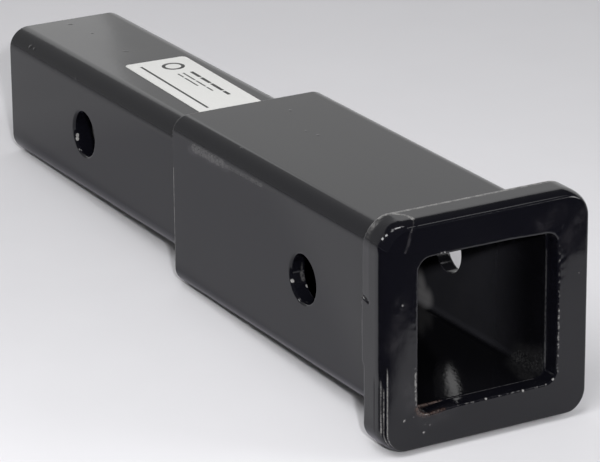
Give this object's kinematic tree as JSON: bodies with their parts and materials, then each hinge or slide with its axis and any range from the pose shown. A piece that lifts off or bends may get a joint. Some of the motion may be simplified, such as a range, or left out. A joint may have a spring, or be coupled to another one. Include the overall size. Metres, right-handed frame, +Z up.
{
  "type": "hitch receiver extender",
  "caption": "Welded square-tube hitch extender: a shank with a cross pin hole runs into a larger receiver tube, which has its own pin hole and a rounded reinforcing collar at the mouth.",
  "frame": {"origin": "centre of the shank's pin hole, on the axis of the tubes", "axes": "+X along the tubes from the shank towards the receiver's mouth, +Y across along the pin holes, +Z up through the face that carries the label"},
  "size_m": [0.3086, 0.0798, 0.0798],
  "materials": {
    "black_paint": "satin",
    "label_paper": "matte"
  },
  "bodies": {
    "root": {"shank": "black_paint", "receiver_tube": "black_paint", "reinforcing_collar": "black_paint", "mouth_weld": "black_paint", "rear_weld": "black_paint", "label": "label_paper"}
  },
  "joints": []
}
